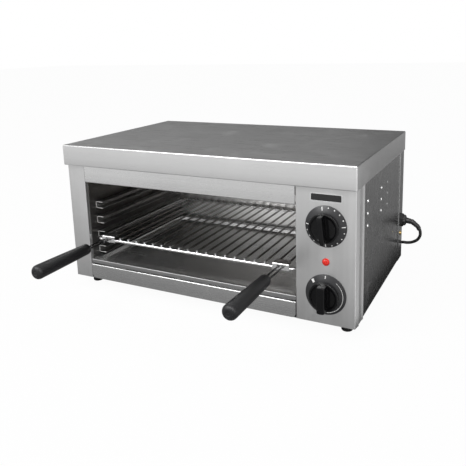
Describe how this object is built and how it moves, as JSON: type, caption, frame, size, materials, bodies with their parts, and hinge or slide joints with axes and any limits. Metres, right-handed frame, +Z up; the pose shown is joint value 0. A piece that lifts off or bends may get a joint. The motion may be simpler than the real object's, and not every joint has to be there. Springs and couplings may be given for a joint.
{
  "type": "cheese melter",
  "caption": "Open-fronted electric cheese melter with a pull-out wire rack on grips, rails at several levels, a crumb tray, and a panel with a timer dial, lamp and heat dial.",
  "frame": {"origin": "on the table, under the middle of the box around the cabinet and its handles, cord left out", "axes": "+X to the right seen from the front, along the cabinet's width; +Y from the front to the back; +Z up"},
  "size_m": [0.6527, 0.682, 0.303],
  "materials": {
    "stainless_steel": "brushed",
    "cavity_steel": "dull, darkened by heat",
    "tray_steel": "satin",
    "insulation": "matte",
    "element_sheath": "dull",
    "ceramic": "matte",
    "rack_wire": "polished",
    "clip_steel": "satin",
    "handle_wire": "satin",
    "grip_plastic": "matte",
    "dial_plastic": "satin",
    "knob_plastic": "gloss",
    "fixing_steel": "satin",
    "control_case": "matte",
    "red_lens": "gloss",
    "lamp_body": "matte",
    "badge_black": "satin",
    "lead_insulation": "matte",
    "foot_rubber": "matte",
    "gland_plastic": "satin",
    "cord_rubber": "matte",
    "plug_rubber": "matte",
    "plug_brass": "satin"
  },
  "bodies": {
    "cabinet": {"top_cover": "stainless_steel", "left_column": "stainless_steel", "control_panel": "stainless_steel", "front_top_rail": "stainless_steel", "front_bottom_rail": "stainless_steel", "left_side_panel": "stainless_steel", "right_side_panel": "stainless_steel", "back_panel": "stainless_steel", "base_panel": "cavity_steel", "cavity_left_wall": "cavity_steel", "divider_wall": "cavity_steel", "cavity_back_wall": "cavity_steel", "cavity_floor": "cavity_steel", "cavity_ceiling": "cavity_steel", "insulation_blanket": "insulation", "left_rail_1": "cavity_steel", "left_rail_2": "cavity_steel", "left_rail_3": "cavity_steel", "left_rail_4": "cavity_steel", "right_rail_1": "cavity_steel", "right_rail_2": "cavity_steel", "right_rail_3": "cavity_steel", "right_rail_4": "cavity_steel", "heating_elements": "element_sheath", "element_bushings": "ceramic", "element_hangers": "cavity_steel", "timer_dial": "dial_plastic", "timer_case_box": "control_case", "heat_dial": "dial_plastic", "heat_case_box": "control_case", "pilot_lens": "red_lens", "pilot_body": "lamp_body", "badge_plate": "badge_black", "terminal_block": "ceramic", "wiring": "lead_insulation", "back_screws": "fixing_steel", "feet": "foot_rubber", "foot_screws": "fixing_steel", "cord_gland": "gland_plastic", "supply_cord": "cord_rubber", "cord_coil": "cord_rubber", "cord_tail": "cord_rubber", "power_plug": "plug_rubber", "plug_blades": "plug_brass"},
    "rack": {"rack_frame": "rack_wire", "rack_rods": "rack_wire", "left_clip": "clip_steel", "right_clip": "clip_steel", "left_handle_wires": "handle_wire", "right_handle_wires": "handle_wire", "left_grip": "grip_plastic", "right_grip": "grip_plastic"},
    "tray": {"crumb_tray": "tray_steel"},
    "timer_control": {"timer_knob": "knob_plastic", "timer_shaft": "fixing_steel"},
    "heat_control": {"heat_knob": "knob_plastic", "heat_shaft": "fixing_steel"}
  },
  "joints": [
    {"name": "rack_slide", "type": "slide", "parent": "cabinet", "child": "rack", "axis": [0, -1, 0], "range_m": [0, 0.22]},
    {"name": "tray_slide", "type": "slide", "parent": "cabinet", "child": "tray", "axis": [0, -1, 0], "range_m": [0, 0.25]},
    {"name": "timer_turn", "type": "hinge", "parent": "cabinet", "child": "timer_control", "pos_m": [0.251, -0.091, 0.196], "axis": [0, 1, 0], "range_deg": [0, 300]},
    {"name": "heat_turn", "type": "hinge", "parent": "cabinet", "child": "heat_control", "pos_m": [0.251, -0.091, 0.076], "axis": [0, 1, 0], "range_deg": [0, 315]}
  ]
}
